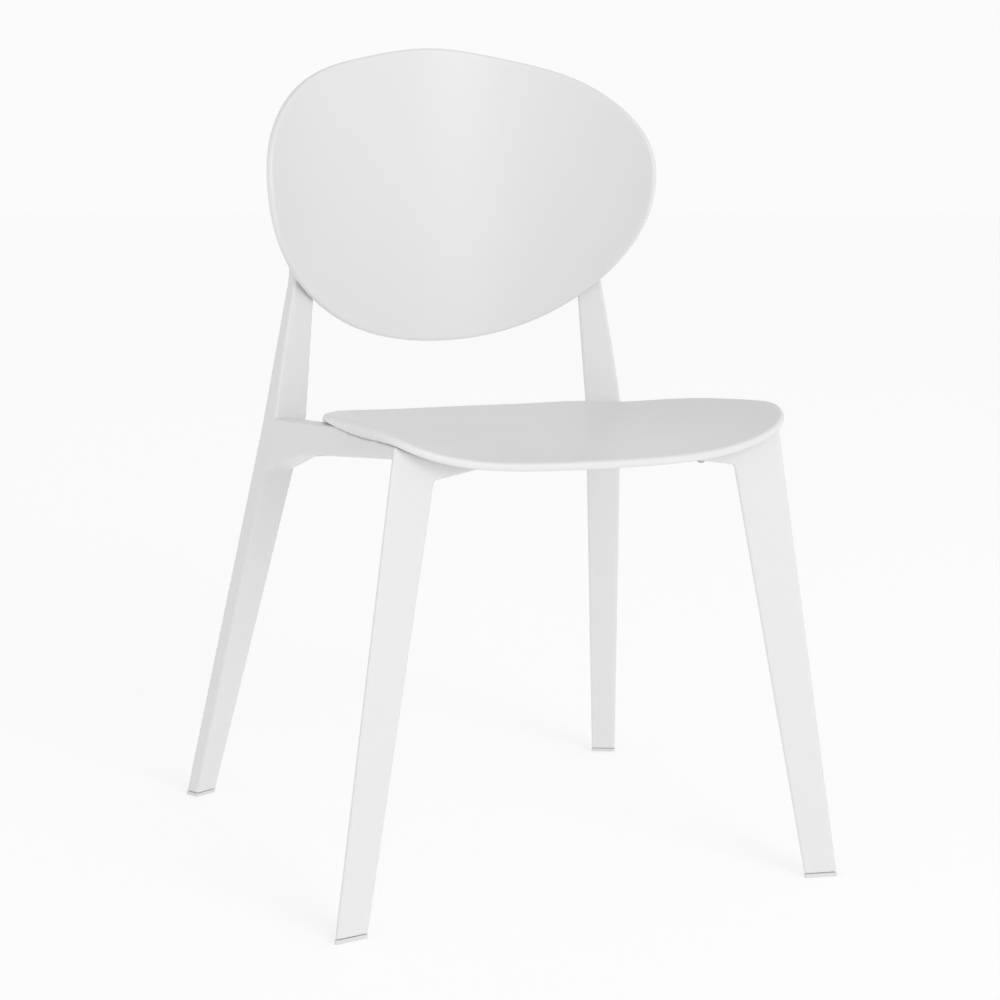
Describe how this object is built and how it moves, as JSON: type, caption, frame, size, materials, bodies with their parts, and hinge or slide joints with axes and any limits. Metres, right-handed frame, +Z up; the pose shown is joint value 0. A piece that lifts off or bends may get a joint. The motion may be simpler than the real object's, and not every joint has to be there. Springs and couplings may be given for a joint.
{
  "type": "stacking chair",
  "caption": "White moulded plastic stacking chair with a curved oval back, a dished round-fronted seat and splayed tapering legs.",
  "frame": {"origin": "centre of the bounding box on the floor, under the seat", "axes": "+Z up from the floor, +X to the right of someone looking at the front of the chair, +Y towards the back of the chair, so the sitter faces -Y"},
  "size_m": [0.5292, 0.5494, 0.8204],
  "materials": {
    "white_plastic": "satin white polypropylene with a fine moulded grain",
    "glide_plastic": "light grey polyethylene, matt",
    "bumper_rubber": "dark grey rubber, matt",
    "zinc_steel": "bright zinc-plated screw",
    "insert_brass": "machined brass"
  },
  "bodies": {
    "root": {"seat_shell": "white_plastic", "backrest_shell": "white_plastic", "side_frame_right": "white_plastic", "side_frame_left": "white_plastic", "front_leg_right": "white_plastic", "front_leg_left": "white_plastic", "cross_rail": "white_plastic", "seat_screws": "zinc_steel", "seat_inserts": "insert_brass", "backrest_screws": "zinc_steel", "backrest_inserts": "insert_brass", "backrest_screw_caps": "white_plastic", "cross_rail_screws": "zinc_steel", "glide_front_right": "glide_plastic", "glide_front_left": "glide_plastic", "glide_rear_right": "glide_plastic", "glide_rear_left": "glide_plastic", "stacking_bumper_right": "bumper_rubber", "stacking_bumper_left": "bumper_rubber"}
  },
  "joints": []
}
